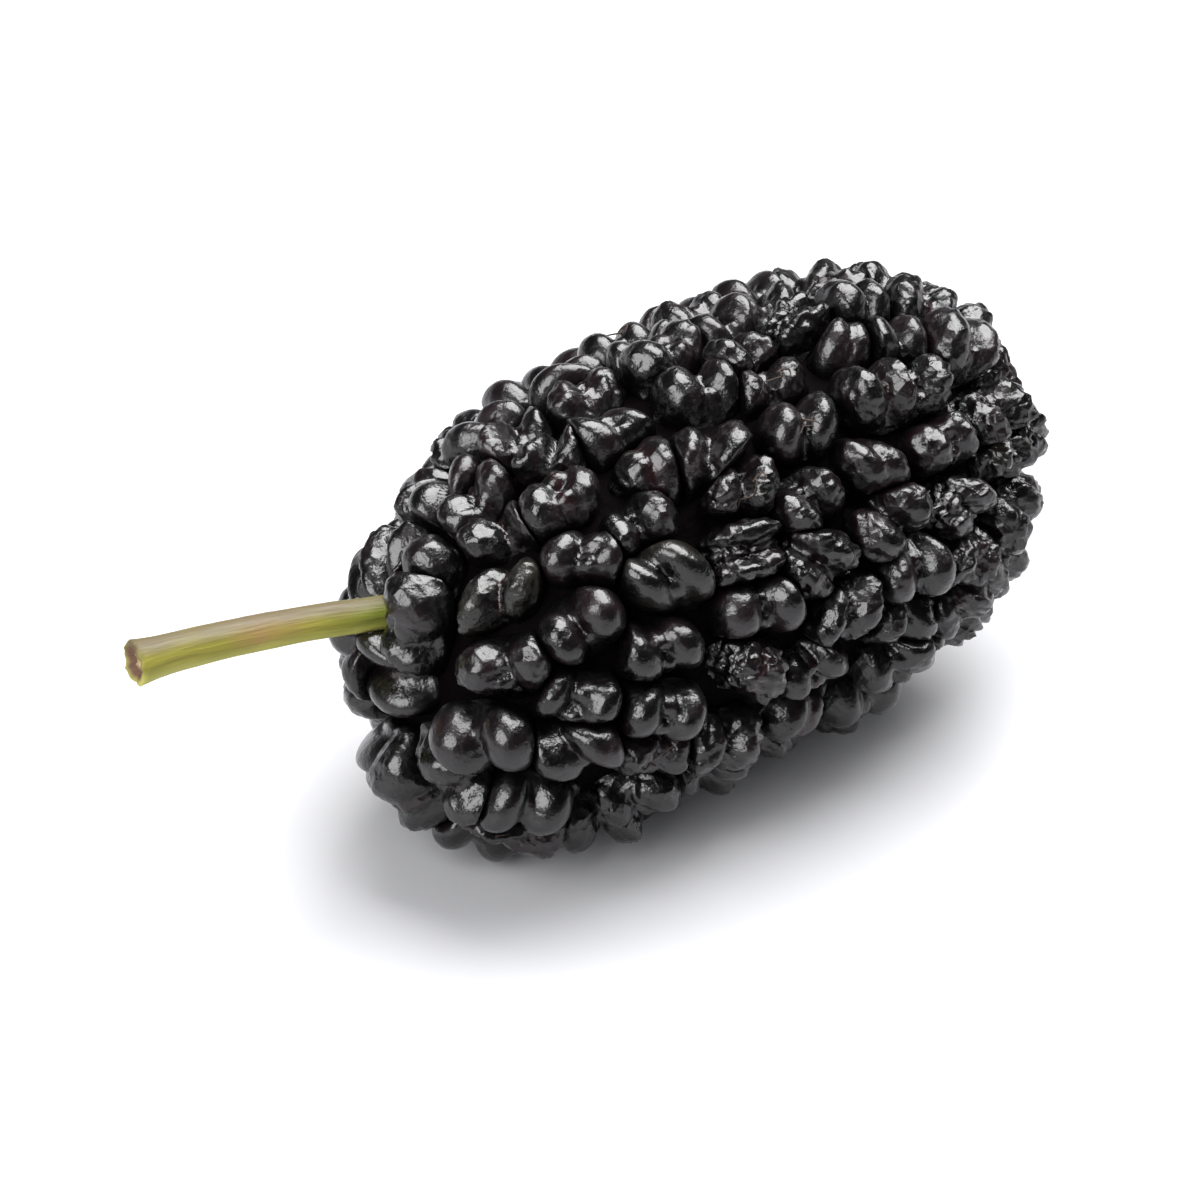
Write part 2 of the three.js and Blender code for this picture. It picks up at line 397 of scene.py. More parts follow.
@dataclass(frozen=True)
class StalkRind(Finish):
    """The rind of a fresh green fruit stalk: satin, with fine ribs along it.

    It is yellow-green, greener at the fruit, tanned in the middle, and browned at the cut.
    """

    name: str = "green stalk rind"
    leaf: str = "#535a16"
    lime: str = "#67631d"
    tan: str = "#705a31"
    dusk: str = "#4d421e"
    # a darker brown along the upper side
    upper_brown: str = "#443922"  # along the upper side
    # painted light: a paler green along the lower side, lifting the shade under the stalk
    shaded: str = "#9b984a"  # along the lower side
    bark: str = "#4f3625"
    pith: str = "#a08868"
    tan_mm: float = 2.2  # from one tanned patch to the next
    stray_along: float = 0.35  # how far the patches shift the tones along the stalk
    stray_round: float = 0.5  # and round it
    rib_mm: float = 0.12  # from one rib to the next, round the stalk
    relief_mm: float = 0.04

    def surface(self, add: Add, place: bpy.types.NodeSocket) -> dict[str, Any]:
        """Adds the nodes for the surface's colour, gloss and relief.

        Args:
            add: Adds a node to the material.
            place: The point in Object coordinates.

        Returns:
            What the shader is given, by the socket's name.
        """
        along = add(ATTRIBUTE, attribute_name="along_here").outputs["Fac"]
        cut = add(ATTRIBUTE, attribute_name="cut_here").outputs["Fac"]
        rind = add(ATTRIBUTE, attribute_name="rind").outputs["Vector"]

        scale = 1 / (self.tan_mm * MM)
        wander = add(NOISE, {"Vector": place, "Scale": scale, "Detail": 3.0})
        run = add(MATH, [wander, self.stray_along, along], operation="MULTIPLY_ADD")
        # Its green and tan, from the fruit to the cut.
        colour = add("ShaderNodeValToRGB", [run])
        ramp = colour.color_ramp.elements
        stops = [(0.14, self.leaf), (0.36, self.lime), (0.62, self.tan), (0.86, self.lime)]
        while len(ramp) < len(stops):
            ramp.new(0.5)
        for element, (position, tone) in zip(ramp, stops):
            element.position = position
            element.color = linear(tone)

        # Dusky ribs, a darker brown upper side, a paler lower side that is painted light lifting
        # the shade under the stalk, and the cut: its bark rim and its pith. Each has what it
        # follows, where on that it starts and is full, and how much it then covers.
        scale = 1 / (self.rib_mm * MM)
        rib = add(NOISE, {"Vector": rind, "Scale": scale, "Detail": 2.0})
        upward = add(SEPARATE, [rind]).outputs[1]
        upward = add(MATH, [upward, 1 / (RIND_RADIUS * MM)], operation="MULTIPLY")
        upward = add(MATH, [wander, self.stray_round, upward], operation="MULTIPLY_ADD")
        for measure, start, end, most, curve, tone in (
            (rib, 0.5, 0.8, 0.55, "LINEAR", self.dusk),
            # darker brown along the upper side
            (upward, 0.72, 1.3, 0.95, "SMOOTHSTEP", self.upper_brown),
            # painted light along the lower side, lifting its shade
            (upward, 0.5, -0.3, 0.9, "SMOOTHSTEP", self.shaded),
            (cut, 0.05, 0.35, 1.0, "LINEAR", self.bark),
            (cut, 0.55, 0.8, 1.0, "LINEAR", self.pith),
        ):
            share = add(MAP_RANGE, [measure, start, end, 0.0, most], interpolation_type=curve)
            colour = add(MIX, {0: share, 6: colour, 7: linear(tone)}, data_type="RGBA")
        relief = {"Strength": 0.8, "Distance": self.relief_mm * MM, "Height": rib}
        return {
            "Base Color": colour,
            "Roughness": add(MAP_RANGE, [rib, 0.3, 0.7, 0.5, 0.7]),
            "IOR": 1.42,
            "Normal": add(BUMP, relief),
            "Subsurface Weight": 0.12,
            "Subsurface Radius": (0.8, 1.0, 0.3),
            "Subsurface Scale": 0.3 * MM,
        }


@dataclass(frozen=True)
class PaleTable(Finish):
    """A smooth white laminate top, with the least mottle in its satin."""

    name: str = "white laminate"
    white: str = "#98989a"
    mottle_mm: float = 6.0

    def surface(self, add: Add, place: bpy.types.NodeSocket) -> dict[str, Any]:
        """Adds the nodes for the surface's colour, gloss and relief.

        Args:
            add: Adds a node to the material.
            place: The point in Object coordinates.

        Returns:
            What the shader is given, by the socket's name.
        """
        mottle = add(NOISE, {"Vector": place, "Scale": 1 / (self.mottle_mm * MM)})
        return {
            "Base Color": linear(self.white),
            "Roughness": add(MAP_RANGE, [mottle, 0.3, 0.7, 0.45, 0.55]),
            "Specular IOR Level": 0.3,
        }


# --------------------------------------------------------------------------- the fruit's form


@dataclass
class SeededStream:
    """A repeatable stream of numbers, the one that the solids were placed by."""

    state: int = SEED

    def random(self) -> float:
        """Draws the next number.

        Returns:
            A number from 0 to 1.
        """
        mask = 0xFFFFFFFF
        self.state = (self.state + 0x6D2B79F5) & mask
        state = self.state
        mixed = ((state ^ (state >> 15)) * (1 | state)) & mask
        mixed = ((mixed + ((mixed ^ (mixed >> 7)) * (61 | mixed) & mask)) & mask) ^ mixed
        return ((mixed ^ (mixed >> 14)) & mask) / 2**32

    def spread(self) -> float:
        """The next number from -1 to 1."""
        return 2 * self.random() - 1


@dataclass(frozen=True)
class Barrel:
    """The bent barrel that the tops of the drupelets touch. Sizes in millimetres."""

    length: float = 25.4
    girth: float = 15.8
    bluntness: float = 2.65
    tip_taper: float = 0.02
    tip_lift: float = 0.85
    tip_side: float = 0.85
    side_bow: float = 0.4
    middle: tuple[float, float, float] = (3.9, 0.1, 7.5)
    slant_up: float = 0.28  # the stalk end is drawn in this much for each mm above the axis
    slant_aside: float = 0.1  # and this much for each mm to +Y of it
    ring_tilt: float = 0.23  # the rings round the stalk are turned up by this
    ring_aside: float = 0.17  # and to +Y by this
    nudge: float = 0.01

    def axis_point(self, along: float) -> Vector:
        """A point of the bent axis.

        Args:
            along: -1 for the stalk end to 1 for the tip.

        Returns:
            The point.
        """
        x, y, z = self.middle
        x += along * self.length / 2
        y = y + self.tip_side * along - self.side_bow * along * along
        return Vector((x, y, z + self.tip_lift * along))

    def outline(self, angle: float, depth: float = 0.0) -> Vector:
        """A point of half the barrel's outline.

        Args:
            angle: 0 at the stalk end to pi at the tip.
            depth: How far inside the tops.

        Returns:
            The distance along the axis and from it.
        """
        power = 2 / self.bluntness
        along = -math.copysign(abs(math.cos(angle)) ** power, math.cos(angle))
        radius = abs(math.sin(angle)) ** power * (1 - self.tip_taper * along)
        return Vector((along * (self.length / 2 - depth), radius * (self.girth / 2 - depth)))

    def place_at(self, along: float, aside: Vector) -> Vector:
        """A point beside the axis, with the stalk end slanted.

        Args:
            along: The distance along the axis from its middle.
            aside: The way from the axis to the point.

        Returns:
            The point.
        """
        part = along / (self.length / 2)
        slant = (self.slant_aside * aside.y + self.slant_up * aside.z) * max(0.0, -part) ** 2
        return self.axis_point(part) + aside + Vector((slant, 0, 0))

    def surface(self, angle: float, turn: float) -> tuple[Vector, Vector, Vector]:
        """Where the barrel's surface is in a direction.

        Args:
            angle: 0 at the stalk end to pi at the tip.
            turn: Round the axis.

        Returns:
            The place, the direction along the fruit, and the direction outwards.
        """
        hinge = Vector((0.0, self.ring_tilt, -self.ring_aside))
        tilt = hinge.length * ((1 + math.cos(angle)) / 2) ** 2
        ray = Vector(
            (-math.cos(angle), math.sin(angle) * math.cos(turn), math.sin(angle) * math.sin(turn))
        )
        ray = Matrix.Rotation(tilt, 3, hinge) @ ray
        tilted = math.acos(max(-1.0, min(1.0, -ray.x)))
        spoke = Vector((0, ray.y, ray.z)).normalized()
        x, y = self.outline(tilted)
        walk = (self.outline(tilted + self.nudge) - self.outline(tilted - self.nudge)).normalized()
        along = spoke * walk.y + Vector((walk.x, 0, 0))
        outward = spoke * walk.x - Vector((walk.y, 0, 0))
        return self.place_at(x, spoke * y), along, outward


class Lobing(Enum):
    """How a drupelet's four fleshy leaves closed over its seed."""

    TWIN = "twin"  # two plump lobes, side by side along the fruit
    RINGED = "ringed"  # a shallow cleft, with a dimple where the style stood
    PLAIN = "plain"  # nearly round


@dataclass(frozen=True)
class Seat:
    """One drupelet's place and make.

    Attributes:
        centre: The middle of its ball, in millimetres.
        turn: Its own axes: across, along the fruit, and outwards.
        half: Half of its size on each of those axes, in millimetres.
        near: The lobe on the stalk's side: its shift across, girth and height beside usual.
        far: The same for the lobe on the tip's side.
        inner: The inner pair of lobes: how high, how far apart, and their shift along.
        look: How red its cleft, how unripe its skin and how dry it is, each from 0 to 1.
        cleft_turn: How far its cleft is turned, in radians.
        has_style: Whether its dried style still lies on it.
    """

    centre: Vector
    turn: Matrix
    half: Vector
    near: tuple[float, float, float]
    far: tuple[float, float, float]
    inner: tuple[float, float, float]
    look: tuple[float, float, float]
    cleft_turn: float
    has_style: bool

    def carried(self) -> dict[str, Any]:
        """What its point carries, with lengths in metres.

        Returns:
            The values by their names in SEAT_KINDS.
        """
        return {
            "is_seat": True,
            "has_style": self.has_style,
            "seat_turn": self.turn.to_quaternion(),
            "seat_half": self.half * MM,
            "seat_place": self.centre * MM,
            "seat_near": self.near,
            "seat_far": self.far,
            "seat_inner": self.inner,
            "seat_look": self.look,
            "cleft_turn": self.cleft_turn,
        }


@dataclass
class DrupeletRings:
    """The rule that sets the drupelets in rings round the barrel, as in the solids."""

    barrel: Barrel = field(default_factory=Barrel)
    ring_count: int = 11
    first_ring: float = 2.1
    last_ring: float = 1.2
    ring_ease: float = 0.14
    ring_pitch: float = 2.3
    half: tuple[float, float, float] = (1.4, 2.0, 1.7)
    place_jitter: float = 0.18
    ring_jitter: float = 0.03
    size_jitter: float = 0.1
    proud_jitter: float = 0.22
    collar_proud: float = 0.6  # more for the ring round the stalk
    roll_jitter: float = 0.4
    shoulder_rings: int = 2
    shoulder_swell: float = 1.14  # how much longer those rings' drupelets are than the solids'
    waist_swell: float = 1.10  # and the other rings'
    stray: tuple[float, float] = (0.12, 0.38)  # across and along, beside the solids' places
    walk_steps: int = 2000
    # In Lobing's order, the odds of each at the stalk and what the tip adds to them.
    odds: tuple[tuple[float, float], ...] = ((0.80, -0.22), (0.17, 0.05), (0.03, 0.17))
    dryness: tuple[float, float] = (0.08, 0.62)  # at the stalk, and what the tip adds
    dryness_spread: float = 0.22
    redness: float = 0.55  # of the reddest cleft
    unripe_share: float = 0.05  # of the drupelets
    unripeness: tuple[float, float] = (0.4, 0.8)
    lobe_shift: tuple[float, float] = (0.12, 0.10)  # at most, and what full dryness adds
    lobe_spacing: tuple[float, float] = (0.86, 1.14)
    lobe_height: tuple[float, float] = (0.86, 1.08)
    inner_jitter: float = 0.08
    inner_spacing: tuple[float, float] = (0.8, 1.2)
    inner_shift: float = 0.1
    sideways_share: float = 0.05  # of the drupelets, with a cleft across the usual one
    cleft_spread: float = 0.28  # in radians
    style_share: float = 0.12  # of the drupelets still carry their dried style

    def stations(self) -> list[tuple[float, float]]:
        """The rings' places.

        Returns:
            For each ring its angle on the barrel and how long its drupelets are.
        """
        steps = range(self.walk_steps + 1)
        points = [self.barrel.outline(math.pi * i / self.walk_steps) for i in steps]
        walked = [0.0]
        for last, this in zip(points, points[1:]):
            walked.append(walked[-1] + (this - last).length)
        span = walked[-1] - self.first_ring - self.last_ring
        found = []
        for ring in range(self.ring_count):
            part = ring / (self.ring_count - 1)
            eased = part * (1 + self.ring_ease) - self.ring_ease * part * part
            goal = self.first_ring + span * eased
            step = next(i for i, distance in enumerate(walked) if distance >= goal)
            stretch = 1 + self.ring_ease - 2 * self.ring_ease * part
            found.append((math.pi * step / self.walk_steps, stretch))
        return found

    def seats(self) -> list[Seat]:
        """Every drupelet, ring by ring, each ring half a pitch on from the last.

        Returns:
            The seats, in the order that the solids draw their numbers in.
        """
        stream = SeededStream()
        spread = stream.spread
        makes = np.random.default_rng(SEED)
        found = []
        for ring, (angle, stretch) in enumerate(self.stations()):
            girth = 2 * math.pi * self.barrel.outline(angle).y
            count = max(3, round(girth / self.ring_pitch))
            swell = self.shoulder_swell if ring < self.shoulder_rings else self.waist_swell
            for i in range(count):
                turn = 2 * math.pi * (i + ring / 2 + self.place_jitter * spread()) / count
                ring_angle = angle + self.ring_jitter * spread()
                place, along, outward = self.barrel.surface(ring_angle, turn)
                half = Vector(self.half) * (1 + self.size_jitter * spread())
                half.y *= stretch * swell
                proud = self.proud_jitter * spread() + (self.collar_proud if ring == 0 else 0)
                roll = self.roll_jitter * spread()
                across = along.cross(outward)
                axes = Matrix((across, along, outward)).transposed()
                side, on = (float(makes.uniform(-most, most)) for most in self.stray)
                centre = place + outward * (proud - half.z) + across * side + along * on
                turned = axes @ Matrix.Rotation(roll, 3, "Z")
                found.append(self.seat(centre, turned, half, ring / (self.ring_count - 1), makes))
        return found

    def seat(
        self, centre: Vector, turn: Matrix, half: Vector, tipward: float, makes: Any
    ) -> Seat:
        """Draws a drupelet's make: plumper and more cleft at the stalk, drier at the tip.

        Args:
            centre: The middle of its ball.
            turn: Its axes.
            half: Half of its size.
            tipward: 0 at the stalk to 1 at the tip.
            makes: The generator that the makes are drawn from.

        Returns:
            The seat.
        """
        odds = [at_stalk + more * tipward for at_stalk, more in self.odds]
        lobing = list(Lobing)[int(makes.choice(len(odds), p=np.array(odds) / sum(odds)))]
        apart, inner = {
            Lobing.TWIN: (1.0, -0.22),
            Lobing.RINGED: (0.94, -0.04),
            Lobing.PLAIN: (0.5, -0.3),
        }[lobing]
        usual = self.dryness[0] + self.dryness[1] * tipward
        dryness = float(np.clip(makes.normal(usual, self.dryness_spread), 0, 1))
        red = self.redness * float(makes.uniform(0.1, 1.0) ** 3)
        is_unripe = makes.uniform() < self.unripe_share
        unripe = float(makes.uniform(*self.unripeness)) if is_unripe else 0.0
        shift = self.lobe_shift[0] + self.lobe_shift[1] * dryness

        def lobe() -> tuple[float, float, float]:
            """Draws one outer lobe.

            Returns:
                Its shift across, its distance along and its height.
            """
            return (
                float(makes.uniform(-shift, shift)),
                apart * float(makes.uniform(*self.lobe_spacing)),
                float(makes.uniform(*self.lobe_height)),
            )

        near, far = lobe(), lobe()
        height = inner + float(makes.uniform(-self.inner_jitter, self.inner_jitter))
        cleft = math.pi / 2 if makes.uniform() < self.sideways_share else 0.0
        spacing = float(makes.uniform(*self.inner_spacing))
        along = float(makes.uniform(-self.inner_shift, self.inner_shift))
        return Seat(
            centre,
            turn,
            half,
            near,
            far,
            (height, spacing, along),
            (red, unripe, dryness),
            float(makes.normal(cleft, self.cleft_spread)),
            bool(makes.uniform() < self.style_share),
        )


# --------------------------------------------------------------------------- the stalk


@dataclass(frozen=True)
class Stalk:
    """The stalk, along the solids' own line: a slight climb that bends over and sinks.

    Sizes in millimetres.
    """

    length: float = 7.8
    sunk: float = 3.6
    sunk_room: float = 0.1
    root_radius: float = 0.57
    cut_radius: float = 0.66
    flare: float = 0.13
    flare_power: float = 12.0
    start: tuple[float, float, float] = (-8.8, 0.7, 9.1)
    climb: float = 0.16
    turn: float = 0.1
    droop: float = 0.65
    sides: int = 40
    bands: int = 72
    root_bands: float = 0.04  # the share of the bands that close the root
    bar_bands: float = 0.86  # the share of them that the cut face starts at
    dish: float = 0.26  # the most that the cut face stands out or in
    dish_levels: tuple[tuple[float, float], ...] = (  # from its rim to its middle, level at 0.5
        (0.0, 0.5),
        (0.12, 0.66),
        (0.3, 0.52),
        (0.5, 0.24),
        (0.72, 0.17),
        (1.0, 0.25),
    )
    tear: float = 0.35  # how ragged the rim is
    tear_power: float = 30.0  # how close to the cut it is ragged
    tear_scale: float = 2.4  # of its noise, on a ring of radius 1
    knobbliness: float = 0.12  # in parts of the radius
    knob_scale: float = 0.9
    knob_run: float = 0.7  # through the noise, for each mm along the stalk
    rib_run: float = 0.07  # the same, beside the ribs' own width, so that they are long

    @property
    def sunk_x(self) -> float:
        """Where along X the stalk ends inside the fruit, with a little room."""
        return self.start[0] + self.sunk + self.sunk_room

    def middle_nodes(self, add: Add, x: Any) -> bpy.types.Node:
        """Adds nodes for the point of the stalk's middle line at a place along X.

        Args:
            add: Adds a node to the tree.
            x: The node or socket of the place, in metres.

        Returns:
            The node whose output is the point.
        """
        start = [c * MM for c in self.start]
        run = add(MATH, [start[0], x], operation="SUBTRACT")
        sag = add(MATH, [run, 0.0], operation="MAXIMUM")
        sag = add(MATH, [sag, 2.0], operation="POWER")
        fall = -self.droop / self.length**2 / MM
        sag = add(MATH, [sag, fall, start[2]], operation="MULTIPLY_ADD")
        y = add(MATH, [run, self.turn, start[1]], operation="MULTIPLY_ADD")
        z = add(MATH, [run, self.climb, sag], operation="MULTIPLY_ADD")
        return add(COMBINE, [x, y, z])

    def weave(self, tree: bpy.types.NodeTree, given: bpy.types.Node) -> bpy.types.Node:
        """Bends a ball's bands into a bar with a hollowed cut face.

        Args:
            tree: The Geometry Nodes tree.
            given: The group's inputs.

        Returns:
            The last node of the shape.
        """
        add, size = partial(add_node, tree), given.outputs
        ball = add("GeometryNodeMeshUVSphere", {0: size["Sides"], 1: size["Bands"], 2: 1.0})
        x, y, z = add(SEPARATE, [add(POSITION)]).outputs
        band = add(MATH, [z], operation="ARCCOSINE")
        band = add(MATH, [band, 1 / math.pi], operation="MULTIPLY")
        lap = add(MATH, [y, x], operation="ARCTAN2")
        ball = add(STORE, [ball, None, "band", band])
        ball = add(STORE, [ball, None, "lap", lap])
        band, lap = (add(NAMED, [name], data_type="FLOAT") for name in ("band", "lap"))
        cosine, sine = (add(MATH, [lap], operation=kind) for kind in ("COSINE", "SINE"))

        # From the sunk root, over the bar, to the cut face and in to its middle.
        run = add(MAP_RANGE, [band, self.root_bands, self.bar_bands, 0.0, 1.0])
        face = add(MAP_RANGE, [band, self.bar_bands, 1.0, 0.0, 1.0])
        root = add(MAP_RANGE, [band, 0.0, self.root_bands, 0.0, 1.0])
        distance = add(MAP_RANGE, [run, 0.0, 1.0, -self.sunk * MM, self.length * MM])
        part = add(MATH, [distance, self.length * MM], operation="DIVIDE", use_clamp=True)
        swell = add(MATH, [part, size["Flare power"]], operation="POWER")
        radius = add(MAP_RANGE, [part, 0.0, 1.0, size["Root radius"], size["Cut radius"]])
        radius = add(MATH, [swell, size["Flare"], radius], operation="MULTIPLY_ADD")
        radius = add(MATH, [radius, root], operation="MULTIPLY")

        # The face: a rounded rim, then a dished floor, and the rim is torn.
        dish = add("ShaderNodeFloatCurve", [1.0, face])
        levels = dish.mapping.curves[0].points
        levels[0].location, levels[1].location = self.dish_levels[0], self.dish_levels[-1]
        for position, level in self.dish_levels[1:-1]:
            levels.new(position, level)
        dish.mapping.update()
        dish = add(MAP_RANGE, [dish, 0.0, 1.0, -self.dish * MM, self.dish * MM])
        ring = add(COMBINE, [cosine, sine, band])
        torn = add(NOISE, {"Vector": ring, "Scale": self.tear_scale, "Detail": 2.0})
        torn = add(MATH, [torn, -0.5], operation="ADD")
        near_cut = add(MATH, [part, self.tear_power], operation="POWER")
        torn = add(MATH, [torn, near_cut], operation="MULTIPLY")
        distance = add(MATH, [distance, dish], operation="ADD")
        distance = add(MATH, [torn, size["Tear"], distance], operation="MULTIPLY_ADD")
        inward = add(MATH, [1.0, face], operation="SUBTRACT")
        radius = add(MATH, [radius, inward], operation="MULTIPLY")
        ring = add(MATH, [distance, self.knob_run / MM], operation="MULTIPLY")
        ring = add(COMBINE, [cosine, sine, ring])
        knob = add(NOISE, {"Vector": ring, "Scale": self.knob_scale, "Detail": 2.0})
        knob = add(MATH, [knob, -0.5], operation="ADD")
        knob = add(MATH, [knob, size["Knobbliness"], 1.0], operation="MULTIPLY_ADD")
        radius = add(MATH, [radius, knob], operation="MULTIPLY")

        # Set on the middle line, square to its heading.
        x = add(MATH, [self.start[0] * MM, distance], operation="SUBTRACT")
        spot = self.middle_nodes(add, x)
        slope = add(MATH, [distance, 0.0], operation="MAXIMUM")
        bend = -2 * self.droop / self.length**2 / MM
        slope = add(MATH, [slope, bend, self.climb], operation="MULTIPLY_ADD")
        heading = add(COMBINE, [-1.0, self.turn, slope])
        heading = add(VECTOR, [heading], operation="NORMALIZE")
        side = add(VECTOR, [heading, (0.0, 0.0, 1.0)], operation="CROSS_PRODUCT")
        side = add(VECTOR, [side], operation="NORMALIZE")
        up = add(VECTOR, [side, heading], operation="CROSS_PRODUCT")
        for way, share in ((side, cosine), (up, sine)):
            reach = add(MATH, [radius, share], operation="MULTIPLY")
            reach = add(VECTOR, {0: way, 3: reach}, operation="SCALE")
            spot = add(VECTOR, [spot, reach], operation="ADD")

        # What the rind's finish reads.
        ball = add(STORE, [ball, None, "along_here", part])
        ball = add(STORE, [ball, None, "cut_here", face])
        radius = RIND_RADIUS * MM
        unrolled = [
            add(MATH, pair, operation="MULTIPLY")
            for pair in ((cosine, radius), (sine, radius), (distance, self.rib_run))
        ]
        unrolled = add(COMBINE, unrolled)
        ball = add(STORE, [ball, None, "rind", unrolled], data_type="FLOAT_VECTOR")
        return add(SET_POSITION, {0: ball, 2: spot})

    def build(self, rind: bpy.types.Material) -> bpy.types.Object:
        """Builds the stalk.

        Args:
            rind: What it is dressed in.

        Returns:
            The piece.
        """
        sizes = {
            "Sides": self.sides,
            "Bands": self.bands,
            "Root radius": self.root_radius * MM,
            "Cut radius": self.cut_radius * MM,
            "Flare": self.flare * MM,
            "Flare power": self.flare_power,
            "Tear": self.tear * MM,
            "Knobbliness": self.knobbliness,
        }
        shape = NodeShape("stalk_rind", sizes, rind)
        return shape.make(bpy.data.meshes.new("stalk_base"), self.weave)


# --------------------------------------------------------------------------- the fruit


@dataclass
class Fruit:
    """The whole mulberry fruit: a fleshy core and the drupelets that grow from it.

    Sizes in millimetres, but those of the lobes, the root and the folds are parts of a
    drupelet's own half size.
    """

    stalk: Stalk  # that the skin keeps clear of
    rings: DrupeletRings = field(default_factory=DrupeletRings)
    core_depth: float = 1.5
    core_sides: int = 48
    core_steps: int = 28
    segments: int = 44  # round a drupelet's cross axis
    bands: int = 22  # from one flank to the other
    top_crowding: float = 5.0  # how much closer together the segments are on top
    flank_ease: float = 0.3  # and how much wider apart the bands are at the flanks
    gap: float = -0.1  # between drupelets that press on each other
    shoulder: float = 0.26  # how softly a pressed flank turns into the top
    reach: float = 6.0  # drupelets further apart than this don't press on each other
    same_place: float = 0.01  # and one closer than this is the drupelet itself
    gap_heights: tuple[float, float] = (1.2, 0.3)  # over its middle: where the shade starts, ends
    stalk_gap: float = 0.12
    lobe_apart: float = 0.39
    lobe_size: tuple[float, float, float] = (0.93, 0.45, 0.98)
    inner_apart: float = 0.28
    inner_size: tuple[float, float, float] = (0.46, 0.36, 0.84)
    root_size: tuple[float, float, float] = (0.94, 0.94, 0.9)
    root_drop: float = 0.42
    root_softness: float = 0.1
    root_length: float = 0.4  # what is left of it, because it ends inside the core
    cleft_softness: float = 0.06
    cleft_width: float = 0.3
    lobe_wobble: float = 0.18
    wobble_scale: float = 1.3
    fold_depth: float = 0.18
    fold_scale: float = 2.3
    fold_width: float = 0.16
    noise_run: float = 2.5  # for each mm from a drupelet to the next, so that none is alike

    def base_mesh(self, seats: list[Seat]) -> bpy.types.Mesh:
        """The core's faces, and one loose point for each drupelet with its make.

        Args:
            seats: The drupelets.

        Returns:
            The mesh that the tree starts from.
        """
        barrel, sides, steps = self.rings.barrel, self.core_sides, self.core_steps
        corners, faces, ends = [], [], []
        for step in range(1, steps):
            x, y = barrel.outline(math.pi * step / steps, self.core_depth)
            for side in range(sides):
                turn = 2 * math.pi * side / sides
                corners.append(barrel.place_at(x, Vector((0, math.cos(turn), math.sin(turn))) * y))
        for angle in (0.0, math.pi):
            x = barrel.outline(angle, self.core_depth).x
            ends.append(len(corners))
            corners.append(barrel.axis_point(x / (barrel.length / 2)))
        last = (steps - 2) * sides
        for start in range(0, last, sides):
            for side in range(sides):
                a, b = start + side, start + (side + 1) % sides
                faces.append((a, a + sides, b + sides, b))
        for side in range(sides):
            after = (side + 1) % sides
            faces.append((ends[0], side, after))
            faces.append((ends[1], last + after, last + side))
        core_count = len(corners)
        corners += [seat.centre for seat in seats]
        mesh = bpy.data.meshes.new("fruit_base")
        mesh.from_pydata([tuple(c * MM) for c in corners], [], faces)

        carried = [seat.carried() for seat in seats]
        for name, kind in SEAT_KINDS.items():
            slot = "vector" if kind == "FLOAT_VECTOR" else "value"
            points = list(mesh.attributes.new(name, kind, "POINT").data)[core_count:]
            for point, values in zip(points, carried):
                setattr(point, slot, values[name])
        return mesh

    @staticmethod
    def way_out(add: Add, ray: Any, middle: Any, half_size: Any) -> bpy.types.Node:
        """Adds nodes for how far along a ray from the origin a ball's far side is.

        Args:
            add: Adds a node to the tree.
            ray: The ray's direction.
            middle: The ball's middle.
            half_size: Half of the ball's size on each axis.

        Returns:
            The node whose output is the distance, in lengths of the ray.
        """
        scaled = add(VECTOR, [ray, half_size], operation="DIVIDE")
        offset = add(VECTOR, [middle, half_size], operation="DIVIDE")
        square, toward, beside = (
            add(VECTOR, pair, operation="DOT_PRODUCT")
            for pair in ((scaled, scaled), (scaled, offset), (offset, offset))
        )
        room = add(MATH, [1.0, beside], operation="SUBTRACT")
        root = add(MATH, [toward, toward], operation="MULTIPLY")
        root = add(MATH, [square, room, root], operation="MULTIPLY_ADD")
        root = add(MATH, [root, 0.0], operation="MAXIMUM")
        root = add(MATH, [root], operation="SQRT")
        far_side = add(MATH, [toward, root], operation="ADD")
        return add(MATH, [far_side, square], operation="DIVIDE")

    def weave(self, tree: bpy.types.NodeTree, given: bpy.types.Node) -> bpy.types.Node:
        """Grows the drupelets on their points and joins them with the core.

        Args:
            tree: The Geometry Nodes tree.
            given: The group's inputs.

        Returns:
            The last node of the shape.
        """
        add, size = partial(add_node, tree), given.outputs
        seat = {
            name: add(NAMED, [name], data_type=kind)
            for name, kind in SEAT_KINDS.items()
            if name != "has_style"
        }
        here = add(POSITION)
        x, y, z = add(SEPARATE, [here]).outputs
        parted = add("GeometryNodeSeparateGeometry", [size["Base"], seat["is_seat"]])
        seats, core = parted.outputs["Selection"], parted.outputs["Inverted"]

